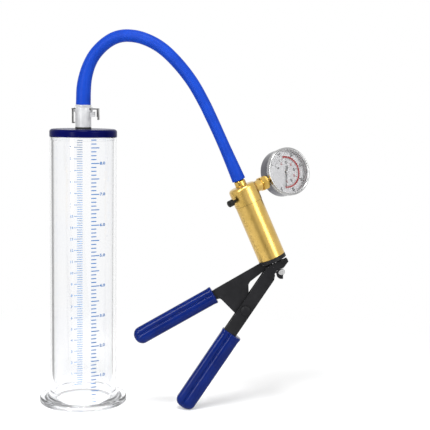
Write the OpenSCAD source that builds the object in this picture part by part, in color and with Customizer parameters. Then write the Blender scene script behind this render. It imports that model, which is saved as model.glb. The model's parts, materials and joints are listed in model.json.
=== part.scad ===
// Hand vacuum pump with a dial gauge, a hose and a clear graduated measuring chamber.
// Millimetres. Origin: centre of the chamber's open mouth, on the floor. +Z runs up the chamber,
// +X points from the chamber to the pump, +Y points away from the front.

/* [Chamber] */
// Outside diameter of the clear tube
tube_od = 56; // [45:0.5:68]
// Wall thickness of the clear tube
tube_wall = 3; // [2.4:0.1:3.6]
// Height of the tube, mouth to the underside of the end cap
tube_h = 227; // [182:1:273]
// How far the base flange stands out from the tube
flange_reach = 9; // [7:0.1:11]
// Height of the flange rim
flange_rim_h = 4.7; // [3.8:0.1:5.6]
// Thickness of the end cap
cap_t = 6.2; // [5:0.1:7.4]

/* [Coupling] */
// Diameter of the clear coupling body
coupling_d = 13.2; // [12.6:0.1:15.8]
// Height of the coupling body and collar above its gasket
coupling_h = 16.6; // [14.6:0.1:20]
// Travel of the thumb latch
latch_travel = 1.5; // [1.2:0.1:1.8]

/* [Hose] */
// Outside diameter of the hose in the middle of its run
hose_d = 10.2; // [8.4:0.1:12]
// Height of the hose arch above the straight line between its ends
hose_rise = 78; // [63:1:93]

/* [Pump] */
// Distance of the barrel's lower end from the chamber axis
pump_x = 158.8; // [130:1:190]
// How far the pump stands in front of the chamber axis
pump_y = 20; // [16:1:24]
// Lean of the barrel from upright, degrees
lean = 24; // [20:0.5:28]
// Outside diameter of the brass barrel
barrel_od = 23; // [20:0.5:28]
// Wall thickness of the brass barrel
barrel_wall = 1.2; // [1:0.1:1.4]
// Length of the brass barrel
barrel_len = 49; // [44:1:58]
// Height of the brass head
head_h = 15.5; // [14:0.5:18.5]
// Stroke of the piston
stroke = 15; // [12:0.5:16]

/* [Gauge] */
// Outside diameter of the gauge bezel
gauge_d = 40.8; // [34:0.2:49]
// Depth of the gauge, bezel front to case back
gauge_depth = 16; // [14:0.5:19]
// Distance of the gauge centre from the barrel axis
gauge_reach = 44.6; // [42:0.2:50]
// Turn of the gauge about the barrel axis, degrees
gauge_turn = 32; // [26:1:38]

/* [Handles] */
// Distance of the pivot rivet from the barrel axis
pivot_out = 37.3; // [35:0.1:42]
// Distance of the pivot rivet below the barrel
pivot_down = 32.3; // [30:0.1:36]
// Squeeze angle of the moving handle, degrees
squeeze = 22; // [18:0.5:23]
// Thickness of the fixed handle's steel plate
plate_t = 2.2; // [1.8:0.1:2.6]
// Thickness of the moving handle's folded steel sheet
sheet_t = 1.2; // [1:0.1:1.4]
// Length of each vinyl grip
grip_len = 76; // [62:1:90]
// Half width of the moving handle's bar
bar_hw = 5.4; // [5:0.1:6]

/* [Hidden] */
$fa = 6;
$fs = 0.6;
gap = 0.35;          // gap between pieces that move past each other
run = 0.05;          // radial clearance of a running fit
seat = 0.02;         // radial clearance of a piece seated in a bore
// Chamber
tube_r = tube_od / 2;
tube_ir = tube_r - tube_wall;
flange_r = tube_r + flange_reach;
flange_top = flange_rim_h * 2;
cap_z = tube_h;
cap_top = cap_z + cap_t;
cap_round = cap_t * 0.4;
spigot_h = 3;
spigot_r = tube_ir + tube_wall * 0.35;
// Coupling
gasket_t = 1.6;
body_z = cap_top + gasket_t;
collar_h = 4;
collar_z = body_z + coupling_h - collar_h;
collar_top = body_z + coupling_h;
coup_r = coupling_d / 2;
collar_r = coup_r + 1.1;
stem_r = 3.5;
socket_r = stem_r + 0.4;
socket_z = body_z + 5;
shank_r = 4.9;
plate_z = collar_z + 1.8;
latch_t = 1;
insert_z = collar_top + 0.35;
insert_flange = 1.6;
hose_z0 = insert_z + insert_flange;
// Pump
barrel_r = barrel_od / 2;
bore_r = barrel_r - barrel_wall;
head_r = barrel_r + 0.25;
head_top = barrel_len + head_h;
spigot_len = 5;
head_void = bore_r - 2.5;
base_h = 5.2;
barb_z = head_top + base_h;
ring_t = 3.2;
collar_t = 1.2;
rod_r = 2;
piston_h = 6;
piston_z = barrel_len - spigot_len - 2 - piston_h;
bush_top = 4;
port_u = barrel_len + 9.4;
port_r = 4.8;
port_end = head_r + 5.4;
nut_af = 11;
nut_w = 6.4;
stem_bore = 2.6;
bleed_u = barrel_len + 6.6;
bleed_turn = 220;
knob_r = 2.7;
knob_l = 4.8;
// Gauge
gr = gauge_d / 2;
case_r = gr - 0.6;
bezel_w = 1.8;
case_wall = 0.8;
bezel_l = 4.6;
front = -gauge_depth / 2;
dial_y = front + bezel_l + 1.2;
needle_clock = 121;
needle_len = gr * 0.71;
tail_len = gr * 0.37;
// Handles
tilt = 33.2;
slope = lean + tilt;
pin_r = 1.3;
pin_off = 2.4;
pin_drop = 14.1;
head_pin_r = 2.1;
pin_rise = pivot_down - pin_drop;
cheek_in = 3;
cheek_out = cheek_in + sheet_t;
pivot_r = 2.4;
boss_r = bar_hw - sheet_t - 0.7;
grip_gap = 23;
low_r = 6.6;
low_off = 1.9;
low_p = -1.8;
up_r = 6;
up_off = 1.35;
up_x = -56.3;
up_z = -10.3;
up_tilt = 6.5;
foot_cut = 1.6;
tip_r = 4;
low_end = grip_gap + grip_len - tip_r;
pivot_wz = tip_r - foot_cut + low_end * sin(slope) + (low_off - low_p + low_r - tip_r) * cos(slope);
pump_z = pivot_wz + pivot_out * sin(lean) + pivot_down * cos(lean);
// Where the pin sits in the moving handle's own frame, t from 0 (at rest) to 1 (squeezed)
function pin_x(t) = (pivot_out + pin_off) * cos(squeeze * t) - (pin_rise - stroke * t) * sin(squeeze * t);
function pin_z(t) = (pivot_out + pin_off) * sin(squeeze * t) + (pin_rise - stroke * t) * cos(squeeze * t);
function pin_a(t) = pin_x(t) * cos(tilt) + pin_z(t) * sin(tilt);
function pin_p(t) = -pin_x(t) * sin(tilt) + pin_z(t) * cos(tilt);
a0 = pin_a(0);
p0 = pin_p(0);
// Hose: ends, then [part of the way across, part of the rise] and a width factor for each ring
hose_a = [0, 0, hose_z0];
hose_b = [pump_x - barb_z * sin(lean), -pump_y, pump_z + barb_z * cos(lean)];
hose_steps = [
  [0, 0, 1.22], [0.003, 0.18, 1.2], [0.014, 0.31, 1.12], [0.038, 0.455, 1.05], [0.077, 0.6, 1.03],
  [0.14, 0.755, 1.02], [0.21, 0.875, 1.02], [0.29, 0.955, 1.01], [0.39, 1, 1.01], [0.5, 0.99, 1],
  [0.605, 0.91, 0.98], [0.7, 0.785, 0.96], [0.775, 0.63, 0.94], [0.822, 0.51, 0.93], [0.866, 0.39, 0.91],
  [0.908, 0.27, 0.9], [0.953, 0.14, 0.93], [1, 0, 1.02]];
function blend(f) = f * f * (3 - 2 * f);
hose_route = [for (s = hose_steps) [
  hose_a[0] + (hose_b[0] - hose_a[0]) * s[0],
  hose_b[1] * blend(s[0]),
  hose_a[2] + (hose_b[2] - hose_a[2]) * s[0] + hose_rise * s[1]]];

// Frames of the pump, its gauge port, its bleed screw and its two handles
module at_pump() translate([pump_x, -pump_y, pump_z]) rotate([0, -lean, 0]) children();
module at_port() at_pump() translate([0, 0, port_u]) rotate([0, 0, gauge_turn]) children();
module at_gauge() at_port() translate([gauge_reach, 0, 0]) children();
module at_bleed() at_pump() translate([0, 0, bleed_u]) rotate([0, 0, bleed_turn]) children();
module at_lever() at_pump() translate([-pivot_out, 0, -pivot_down]) rotate([0, -tilt, 0]) children();
module at_upper() at_pump() translate([up_x, 0, up_z]) rotate([0, -up_tilt, 0]) children();
module along_x() rotate([0, 90, 0]) children();
module along_y() rotate([-90, 0, 0]) children();
// A flat plate drawn in X and Z, centred on y0
module plate(t, y0 = 0) translate([0, y0, 0]) rotate([90, 0, 0]) linear_extrude(height = t, center = true) children();
module ring(ro, ri, h, z) translate([0, 0, z]) difference() {
  cylinder(r = ro, h = h);
  translate([0, 0, -1]) cylinder(r = ri, h = h + 2);
}

// A round section swept along a list of points; radii has one entry a point
module sweep(pts, radii, sides, side_dir = [0, 1, 0]) {
  n = len(pts);
  frames = [for (i = [0 : n - 1])
    let (t0 = pts[min(i + 1, n - 1)] - pts[max(i - 1, 0)], t = t0 / norm(t0),
      b0 = cross(t, cross(side_dir, t)), b = b0 / norm(b0), c = cross(t, b)) [b, c]];
  ringpts = [for (i = [0 : n - 1], k = [0 : sides - 1])
    pts[i] + radii[i] * (frames[i][0] * cos(360 * k / sides) + frames[i][1] * sin(360 * k / sides))];
  walls = [for (i = [0 : n - 2], k = [0 : sides - 1], h = [0, 1])
    let (k2 = (k + 1) % sides, a = i * sides + k, b = i * sides + k2, c = (i + 1) * sides + k2, d = (i + 1) * sides + k)
    h == 0 ? [a, c, b] : [a, d, c]];
  polyhedron(points = ringpts, faces = concat(walls,
    [[for (k = [0 : sides - 1]) k]], [[for (k = [sides - 1 : -1 : 0]) (n - 1) * sides + k]]));
}

// The tube's top end is widened to seat the cap's spigot flush with its bore
module chamber_tube() color([0.93, 0.96, 1, 0.3]) difference() {
  ring(tube_r, tube_ir, tube_h, 0);
  translate([0, 0, cap_z - spigot_h]) cylinder(r = spigot_r, h = spigot_h + 1);
}

module base_flange() color([0.9, 0.94, 1, 0.35]) rotate_extrude() {
  bead = flange_rim_h / 4;
  translate([tube_r + seat, 0]) square([flange_reach - bead - seat, flange_rim_h]);
  translate([flange_r - bead, bead]) circle(r = bead);
  translate([flange_r - bead, flange_rim_h - bead]) circle(r = bead);
  translate([tube_r + 1, bead]) square([flange_reach - bead * 0.45 - 1, flange_rim_h - 2 * bead]);
  difference() {
    translate([tube_r + seat, flange_rim_h - 0.1]) square([1.2 + flange_rim_h - seat, flange_top - flange_rim_h + 0.1]);
    translate([tube_r + 1.2 + flange_rim_h, flange_top]) circle(r = flange_top - flange_rim_h);
  }
}

module end_cap() color([0.05, 0.05, 0.3]) difference() {
  rotate_extrude() {
    square([tube_r + 0.2 - cap_round, cap_top]);
    translate([0, cap_z]) square([tube_r + 0.2, cap_t - cap_round]);
    translate([tube_r + 0.2 - cap_round, cap_top - cap_round]) circle(r = cap_round);
  }
  translate([0, 0, -1]) cylinder(r = tube_r + 5, h = cap_z + 1);
  cylinder(r = shank_r + seat, h = cap_top + 10);
}

module cap_spigot() color([0.92, 0.94, 0.97, 0.7]) ring(spigot_r - seat, tube_ir - 3, spigot_h, cap_z - spigot_h);

module coupling_gasket() color([0.12, 0.12, 0.16]) ring(coup_r + 0.1, shank_r + seat, gasket_t, cap_top);

module coupling_body() color([0.9, 0.92, 0.94, 0.45]) difference() {
  union() {
    translate([0, 0, cap_z]) cylinder(r = shank_r, h = cap_t + gasket_t + 1);
    translate([0, 0, body_z]) cylinder(r = coup_r, h = coupling_h - collar_h);
    translate([0, 0, collar_z]) cylinder(r = collar_r, h = collar_h);
    translate([coup_r - 1, -2, collar_z - 4]) cube([4.1, 4, 4.2]);
  }
  translate([0, 0, cap_z - 1]) cylinder(r = 1.8, h = coupling_h + 20);
  translate([0, 0, socket_z]) cylinder(r = socket_r, h = coupling_h + 10);
  translate([-20, -5.2, plate_z]) cube([40, 10.4, latch_t + 2 * gap]);
}

module thumb_latch() color([0.55, 0.56, 0.58]) {
  z0 = plate_z + gap;
  difference() {
    translate([-coup_r - 2.6, -4.8, z0]) cube([coup_r * 2 + 8.6, 9.6, latch_t]);
    translate([0, 0, z0 - 1]) cylinder(r = socket_r, h = 3);
    translate([latch_travel, 0, z0 - 1]) cylinder(r = socket_r, h = 3);
    translate([0, -socket_r, z0 - 1]) cube([latch_travel, socket_r * 2, 3]);
  }
  translate([-coup_r - 2.6, -3, z0 - 11.5]) cube([1, 6, 12]);
  translate([-coup_r - 2.1, -3, z0 - 11.5]) cube([1.5, 6, 1]);
  translate([coup_r + 5, -4, z0 - 6.1]) cube([1.4, 8, 7.1]);
  translate([coup_r + 5.6, -4, z0 - 8.6]) cube([1, 8, 4]);
}

module coupling_insert() color([0.88, 0.9, 0.92, 0.6]) rotate_extrude() difference() {
  union() {
    translate([0, socket_z + 1]) square([stem_r, insert_z - socket_z]);
    translate([0, insert_z]) square([coup_r, insert_flange]);
    translate([0, insert_z]) square([3.2, 14]);
    for (i = [0 : 2]) translate([0, hose_z0 + 1.5 + i * 3.6]) polygon([[0, 0], [3.9, 0], [3.2, 2.6], [0, 2.6]]);
  }
  square([1.4, insert_z + 60]);
  translate([stem_r - 1.3, socket_z + 2.1]) square([5, 1.8]);
}

module insert_oring() color([0.1, 0.1, 0.1]) translate([0, 0, socket_z + 3])
  rotate_extrude() translate([stem_r - 0.45, 0]) circle(r = 0.8);

module hose() color([0.1, 0.25, 0.75])
  sweep(hose_route, [for (s = hose_steps) hose_d / 2 * s[2]], 12);

module hose_barb() color([0.8, 0.62, 0.25]) at_pump() difference() {
  union() {
    translate([0, 0, head_top]) cylinder(r = 4.7, h = base_h - 1.4);
    translate([0, 0, barb_z - 1.4]) cylinder(r1 = 4.7, r2 = 4, h = 1.4);
    translate([0, 0, head_top]) cylinder(r = 2.7, h = base_h + 13);
    for (i = [0 : 2]) translate([0, 0, barb_z + 1.5 + i * 3.6]) cylinder(r1 = 3.4, r2 = 2.7, h = 2.6);
  }
  translate([0, 0, head_top - 1]) cylinder(r = 1.3, h = 40);
}

module pump_head() color([0.8, 0.62, 0.25]) difference() {
  union() {
    at_pump() rotate_extrude() difference() {
      union() {
        translate([0, barrel_len]) square([head_r, head_h - 3]);
        translate([0, barrel_len]) square([head_r - 3, head_h]);
        translate([head_r - 3, head_top - 3]) circle(r = 3);
        translate([0, barrel_len - spigot_len]) square([bore_r - seat, spigot_len + 1]);
      }
      translate([0, barrel_len - spigot_len - 1]) square([head_void, head_h + spigot_len - 2]);
      translate([0, barrel_len]) square([1.3, 200]);
      translate([bore_r - 1.6, barrel_len - spigot_len / 2 - 0.85]) square([5, 1.7]);
    }
    at_port() translate([head_void + 1, 0, 0]) along_x() cylinder(r = port_r, h = port_end - head_void - 1);
  }
  at_bleed() translate([head_void - 2, 0, 0]) along_x() cylinder(r = 1.35 + run, h = 40);
  at_port() translate([head_void - 2, 0, 0]) along_x() cylinder(r = stem_bore + seat, h = 60);
}

module head_oring() color([0.1, 0.1, 0.1]) at_pump() translate([0, 0, barrel_len - spigot_len / 2])
  rotate_extrude() translate([bore_r - 0.8, 0]) circle(r = 0.78);

module inlet_valve() color([0.15, 0.15, 0.15]) at_pump()
  ring(head_void - seat, 1.5, 1.2, barrel_len - 2);

module barrel() color([0.85, 0.67, 0.3]) at_pump() ring(barrel_r, bore_r, barrel_len, 0);

module rod_bush() color([0.08, 0.08, 0.09]) at_pump() difference() {
  union() {
    cylinder(r = bore_r - seat, h = bush_top);
    translate([0, 0, -ring_t]) cylinder(r = 6 - seat, h = ring_t + 1);
    translate([0, 0, -ring_t - collar_t]) cylinder(r1 = 5, r2 = 6.8, h = collar_t);
  }
  translate([0, 0, -20]) cylinder(r = rod_r + run, h = 40);
}

module piston() color([0.75, 0.75, 0.78]) at_pump() rotate_extrude() difference() {
  translate([0, piston_z]) square([bore_r - 0.08, piston_h]);
  translate([0, piston_z - 1]) square([rod_r + seat, piston_h]);
  translate([bore_r - 1.78, piston_z + piston_h / 2 - 0.9]) square([5, 1.8]);
}

module piston_oring() color([0.1, 0.1, 0.1]) at_pump() translate([0, 0, piston_z + piston_h / 2])
  rotate_extrude() translate([bore_r - 0.9, 0]) circle(r = 0.84);

// The rod ends in an eye set off its axis, towards the tip of the moving handle
module piston_rod() color([0.7, 0.7, 0.72]) at_pump() difference() {
  union() {
    translate([0, 0, -pin_drop]) cylinder(r = rod_r, h = piston_z + piston_h + pin_drop - 1);
    translate([pin_off, 0, -pin_drop]) along_y() cylinder(r = 3.2, h = 2 * (cheek_in - 0.6), center = true);
  }
  translate([pin_off, 0, -pin_drop]) along_y() cylinder(r = pin_r, h = 20, center = true);
}

module rod_pin() color([0.65, 0.65, 0.67]) at_pump() translate([pin_off, 0, -pin_drop]) along_y() {
  cylinder(r = pin_r, h = 2 * cheek_out + 1.6, center = true);
  translate([0, 0, -cheek_out - 1.3]) cylinder(r = head_pin_r, h = 0.9);
}

// The open clip round the pin's head, its gap turned away from the handle
module pin_clip() color([0.12, 0.12, 0.13]) at_pump() translate([pin_off, 0, -pin_drop])
  plate(0.8, -cheek_out - 0.8) rotate([0, 0, -lean]) difference() {
    translate([0.2, -1.2]) circle(r = 4.2);
    circle(r = head_pin_r + seat);
    translate([1.6, -8]) square([8, 16]);
    translate([0, -1.5]) square([8, 10]);
  }

module return_spring() color([0.72, 0.72, 0.75]) at_pump() {
  turns = 5;
  lo = bush_top + 0.6;
  hi = piston_z - 0.6;
  pts = [for (i = [0 : turns * 12]) [6 * cos(i * 30), 6 * sin(i * 30), lo + (hi - lo) * i / (turns * 12)]];
  sweep(pts, [for (i = [0 : turns * 12]) 0.55], 6, [0, 0, 1]);
}

module gauge_nut() color([0.8, 0.62, 0.25]) at_port() translate([port_end, 0, 0]) along_x() rotate([0, 0, 30]) difference() {
  intersection() {
    cylinder(r = nut_af / sqrt(3), h = nut_w, $fn = 6);
    union() {
      cylinder(r1 = nut_af / 2 - 0.2, r2 = nut_af / sqrt(3) + 0.1, h = 1);
      translate([0, 0, 1]) cylinder(r = nut_af / sqrt(3) + 0.1, h = nut_w - 2);
      translate([0, 0, nut_w - 1]) cylinder(r1 = nut_af / sqrt(3) + 0.1, r2 = nut_af / 2 - 0.2, h = 1);
    }
  }
  translate([0, 0, -1]) cylinder(r = stem_bore + seat, h = nut_w + 2);
}

module gauge_stem() color([0.8, 0.62, 0.25]) at_port() translate([bore_r - 1, 0, 0]) along_x() difference() {
  cylinder(r = stem_bore, h = gauge_reach - case_r + case_wall - bore_r + 1);
  translate([0, 0, -1]) cylinder(r = 0.9, h = 100);
}

module gauge_case() color([0.2, 0.2, 0.22]) difference() {
  at_gauge() along_y() {
    translate([0, 0, front + bezel_l]) cylinder(r = case_r, h = gauge_depth - bezel_l - 1.4);
    translate([0, 0, -front - 1.4]) cylinder(r1 = case_r, r2 = case_r - 1.4, h = 1.4);
  }
  at_gauge() along_y() translate([0, 0, front + bezel_l - 1]) cylinder(r = case_r - case_wall, h = gauge_depth - bezel_l + 1 - case_wall);
  at_port() translate([head_r, 0, 0]) along_x() cylinder(r = stem_bore + seat, h = gauge_reach - case_r + 3 - head_r);
}

module gauge_bezel() color([0.8, 0.8, 0.82]) at_gauge() along_y() translate([0, 0, front]) difference() {
  union() {
    cylinder(r1 = gr - 0.9, r2 = gr, h = 0.9);
    translate([0, 0, 0.9]) cylinder(r = gr, h = bezel_l - 0.9);
  }
  translate([0, 0, -1]) cylinder(r = gr - bezel_w, h = bezel_l + 2);
}

module gauge_lens() color([0.9, 0.95, 1, 0.3]) at_gauge() along_y() translate([0, 0, front + 0.9])
  cylinder(r = gr - bezel_w - seat, h = 1);

module gauge_dial() color([0.88, 0.88, 0.9]) at_gauge() along_y() translate([0, 0, dial_y]) difference() {
  cylinder(r = case_r - case_wall - seat, h = 0.6);
  translate([0, 0, -1]) cylinder(r = 1.3, h = 3);
}

module gauge_needle() color([0.1, 0.1, 0.1]) at_gauge() {
  along_y() translate([0, 0, dial_y - 2]) cylinder(r = 1.5, h = 1.5);
  along_y() translate([0, 0, dial_y - 1]) cylinder(r = 0.9, h = 4);
  plate(0.4, dial_y - 1.2) rotate([0, 0, -needle_clock]) {
    translate([-tail_len, -0.45]) square([tail_len + needle_len - 2, 0.9]);
    translate([needle_len, 0]) polygon([[0, 0], [-2.4, 0.45], [-2.4, -0.45]]);
    translate([-tail_len, 0]) polygon([[-1.4, 0], [1.2, 1.1], [1.2, -1.1]]);
  }
}

module gauge_movement() color([0.7, 0.6, 0.35]) at_gauge() difference() {
  translate([-4.5, dial_y + 0.6, -4]) cube([9, 4, 8]);
  along_y() translate([0, 0, -20]) cylinder(r = 0.9 + run, h = 60);
}

module bourdon_tube() color([0.75, 0.6, 0.3]) at_gauge() along_y() translate([0, 0, dial_y + 3])
  rotate([0, 0, 180]) rotate_extrude(angle = 250) translate([case_r - 5.2, 0]) square([1.6, 4], center = true);

module bleed_stem() color([0.1, 0.1, 0.1]) at_bleed() translate([bore_r - 1.5, 0, 0]) along_x()
  cylinder(r = 1.35, h = head_r - bore_r + 8);

module bleed_knob() color([0.06, 0.06, 0.06]) at_bleed() translate([head_r + 3.1, 0, 0]) along_x() difference() {
  union() {
    cylinder(r = knob_r - 0.5, h = 0.6);
    translate([0, 0, 0.5]) cylinder(r = knob_r, h = knob_l - 1);
    translate([0, 0, knob_l - 0.6]) cylinder(r = knob_r - 0.6, h = 0.6);
  }
  translate([0, 0, -1]) cylinder(r = 1.35 + run, h = 4.8);
}

// Stamped plate with a ring under the barrel, a triangular web and a tang
module fixed_handle() color([0.13, 0.13, 0.14]) difference() {
  union() {
    at_pump() translate([0, 0, -ring_t]) cylinder(r = barrel_r, h = ring_t);
    at_pump() plate(plate_t) {
      polygon([[-6.8, -ring_t + 0.6], [-6.8, -6.8], [-8, -7.4], [-24.5, -11.9], [-26.6, -13.6],
        [-29.7, -21.6], [-pivot_out + boss_r * 0.9, -pivot_down + boss_r * 0.6],
        [-pivot_out, -pivot_down - boss_r], [-pivot_out - 4, -pivot_down - boss_r + 0.6],
        [-46.5, -31.1], [-52.1, -16.7], [-53.2, -15.2], [-55.7, -14.7], [-56.6, -6.9],
        [-53.9, -6.3], [-11, -1]]);
      translate([-pivot_out, -pivot_down]) circle(r = boss_r);
    }
    at_upper() translate([-grip_len + up_r + 4, -plate_t / 2, -3.7]) cube([grip_len - up_r - 3.6, plate_t, 7.4]);
  }
  at_pump() translate([0, 0, -30]) cylinder(r = 6, h = 40);
  at_pump() translate([0, 0, -ring_t - collar_t]) cylinder(r1 = 5.3, r2 = 7.1, h = collar_t + 0.01);
  at_lever() along_y() cylinder(r = pivot_r, h = 20, center = true);
}

// Two overlapping bars side by side, rounded at their far end
module bars(len0, r, off) for (s = [-1, 1]) translate([0, 0, s * off]) rotate([0, -90, 0]) rotate_extrude() {
  square([r, len0 - tip_r]);
  square([r - tip_r, len0]);
  intersection() {
    translate([r - tip_r, len0 - tip_r]) circle(r = tip_r);
    square([r + 1, len0 + 1]);
  }
}

module fixed_grip() color([0.04, 0.12, 0.55]) difference() {
  at_upper() bars(grip_len, up_r, up_off);
  at_upper() translate([-grip_len + up_r + 4, -plate_t / 2, -3.7]) cube([grip_len, plate_t, 7.4]);
}

// Folded channel: two cheeks astride the web, joined by a strip along the lower edge
module moving_handle() color([0.13, 0.13, 0.14]) at_lever() difference() {
  union() {
    for (s = [-1, 1]) plate(sheet_t, s * (cheek_in + sheet_t / 2)) difference() {
      polygon([[-low_end + 2, bar_hw], [a0 - 5.6, bar_hw], [a0 - 4.2, p0 + 12.9], [a0 + 5.9, p0 + 7],
        [a0 + 9.2, p0 + 4], [a0 + 11.9, p0 + 2.4], [a0 + 11, p0 + 0.1], [a0 + 4.4, p0 + 0.3],
        [a0 + 1, p0 + 3.2], [a0 - 2, p0 + 3.9], [a0 - 3.5, p0 + 3], [a0 - 6.3, p0 + 2.2],
        [a0 - 8.6, -bar_hw], [-low_end + 2, -bar_hw]]);
      for (t = [0 : 0.125 : 1]) translate([pin_a(t), pin_p(t)]) {
        circle(r = pin_r + gap);
        translate([-pin_r - gap, -12]) square([2 * (pin_r + gap), 12]);
      }
    }
    translate([-low_end + 2, -cheek_in - 0.2, -bar_hw]) cube([low_end + 26, 2 * cheek_in + 0.4, sheet_t]);
  }
  along_y() cylinder(r = pivot_r + run, h = 20, center = true);
}

module moving_grip() color([0.04, 0.12, 0.55]) difference() {
  at_lever() translate([-grip_gap, 0, low_p]) bars(grip_len, low_r, low_off);
  at_lever() translate([-low_end + 2, -cheek_out, -bar_hw]) cube([low_end, 2 * cheek_out, 2 * bar_hw]);
  translate([0, -60, -20]) cube([pump_x, 100, 20]);
}

module pivot_rivet() color([0.15, 0.15, 0.16]) at_lever() along_y() {
  cylinder(r = pivot_r, h = 2 * cheek_out + 1, center = true);
  for (s = [0, 1]) rotate([180 * s, 0, 0]) translate([0, 0, cheek_out + gap]) {
    cylinder(r = 4, h = 0.8);
    translate([0, 0, 0.8]) cylinder(r1 = 4, r2 = 2.6, h = 0.7);
  }
}

module washer(s) color([0.4, 0.4, 0.42]) at_lever() along_y() rotate([90 + 90 * s, 0, 0])
  ring(4, pivot_r, cheek_in - plate_t / 2 - gap, plate_t / 2);
module washer_front() washer(1);
module washer_back() washer(-1);

chamber_tube();
base_flange();
end_cap();
cap_spigot();
coupling_gasket();
coupling_body();
thumb_latch();
coupling_insert();
insert_oring();
hose();
hose_barb();
pump_head();
head_oring();
inlet_valve();
barrel();
rod_bush();
piston();
piston_oring();
piston_rod();
rod_pin();
pin_clip();
return_spring();
gauge_nut();
gauge_stem();
gauge_case();
gauge_bezel();
gauge_lens();
gauge_dial();
gauge_needle();
gauge_movement();
bourdon_tube();
bleed_stem();
bleed_knob();
fixed_handle();
fixed_grip();
moving_handle();
moving_grip();
pivot_rivet();
washer_front();
washer_back();
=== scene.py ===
# %% [markdown]
# # A squeeze-handle vacuum pump and its clear measuring chamber
#
# The object is a brass hand pump with a dial gauge, joined by a blue hose to a clear tube
# that stands on a flanged base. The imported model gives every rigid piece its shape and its
# place; this file adds the camera, the light, the finishes and the pieces that need a
# maker's touch: printed scales, a printed dial, dipped vinyl grips, rounded steel edges and
# the smooth hose. Everything is in metres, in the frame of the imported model: the origin is
# the centre of the tube's open mouth on the floor, +Z is up and +Y points away from us.

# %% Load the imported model
import json
import math
import bpy
import bmesh
from mathutils import Matrix, Vector
from mathutils.geometry import interpolate_bezier


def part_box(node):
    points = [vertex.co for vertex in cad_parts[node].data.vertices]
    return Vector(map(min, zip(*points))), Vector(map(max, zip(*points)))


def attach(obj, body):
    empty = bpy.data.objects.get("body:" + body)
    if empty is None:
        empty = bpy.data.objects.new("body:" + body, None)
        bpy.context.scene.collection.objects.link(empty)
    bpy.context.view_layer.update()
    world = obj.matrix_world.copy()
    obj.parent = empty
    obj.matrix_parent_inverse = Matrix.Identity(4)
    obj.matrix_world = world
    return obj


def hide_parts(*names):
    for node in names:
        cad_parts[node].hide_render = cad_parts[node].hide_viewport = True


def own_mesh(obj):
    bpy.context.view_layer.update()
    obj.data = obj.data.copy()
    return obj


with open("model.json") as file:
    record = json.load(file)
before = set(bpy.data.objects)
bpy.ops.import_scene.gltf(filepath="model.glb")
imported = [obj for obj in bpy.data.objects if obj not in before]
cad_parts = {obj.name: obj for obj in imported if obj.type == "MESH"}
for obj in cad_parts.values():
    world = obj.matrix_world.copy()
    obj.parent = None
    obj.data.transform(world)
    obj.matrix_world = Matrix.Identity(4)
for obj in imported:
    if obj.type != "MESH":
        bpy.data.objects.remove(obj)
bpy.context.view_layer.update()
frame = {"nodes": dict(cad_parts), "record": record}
nodes = frame["nodes"]
joints = {joint["name"]: joint for joint in frame["record"]["behaviour"]["joints"]}

# %% [markdown]
# ## The camera
#
# The camera stands about 85 cm away with a long lens, a little above the middle of the object
# and tilted a few degrees down, so that the tube's base shows as a narrow ellipse. It is
# turned by writing its three directions into a matrix: right, up, and the one behind it.

# %% Camera
EYE = Vector((0.1113, -0.8470, 0.2622))
DOWN = math.radians(6.72)
ROLL = math.radians(0.87)
LENS = 84.47

forward = Vector((0, math.cos(DOWN), -math.sin(DOWN)))
level_up = Vector((0, math.sin(DOWN), math.cos(DOWN)))
level_right = Vector((1, 0, 0))
right = level_right * math.cos(ROLL) + level_up * math.sin(ROLL)
up = level_up * math.cos(ROLL) - level_right * math.sin(ROLL)

camera = bpy.data.objects.new("camera", bpy.data.cameras.new("camera"))
bpy.context.collection.objects.link(camera)
turn = Matrix((right, up, -forward)).transposed()
camera.matrix_world = Matrix.Translation(EYE) @ turn.to_4x4()
camera.data.sensor_width = 36
camera.data.lens = LENS
camera.data.clip_start = 0.02
camera.data.clip_end = 20
bpy.context.scene.camera = camera
print("camera at", tuple(round(v, 3) for v in camera.location), "lens", camera.data.lens)

# %% [markdown]
# ## The hose
#
# A soft blue hose rises straight out of the coupling, arches over and comes down along the
# pump's own axis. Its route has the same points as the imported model's. It is drawn as one
# curve with a round bevel, because a curve stays perfectly smooth and each of its points can
# carry its own thickness: the hose is stretched wider where it is pushed over the two barbs.
# Each step below is a share of the way across, a share of the arch's height, and a width.

# %% Route of the hose
HOSE_START = Vector((0, 0, 0.25335))
HOSE_D = 0.0102
HOSE_RISE = 0.078
BARB_SEAT = Vector((0.13045, -0.020, 0.19402))
HOSE_STEPS = [
    (0, 0, 1.22), (0.003, 0.18, 1.2), (0.014, 0.31, 1.12), (0.038, 0.455, 1.05),
    (0.077, 0.6, 1.03), (0.14, 0.755, 1.02), (0.21, 0.875, 1.02), (0.29, 0.955, 1.01),
    (0.39, 1, 1.01), (0.5, 0.99, 1), (0.605, 0.91, 0.98), (0.7, 0.785, 0.96),
    (0.775, 0.63, 0.94), (0.822, 0.51, 0.93), (0.866, 0.39, 0.91), (0.908, 0.27, 0.92),
    (0.953, 0.14, 1.0), (1, 0, 1.1)]


def ease(f):
    """A smooth step from 0 to 1."""
    return f * f * (3 - 2 * f)


span = BARB_SEAT - HOSE_START
hose_points = []
for across, rise, _ in HOSE_STEPS:
    hose_points.append(Vector((HOSE_START.x + span.x * across, BARB_SEAT.y * ease(across),
                               HOSE_START.z + span.z * across + HOSE_RISE * rise)))
print("hose drawn through", len(hose_points), "points")
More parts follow.
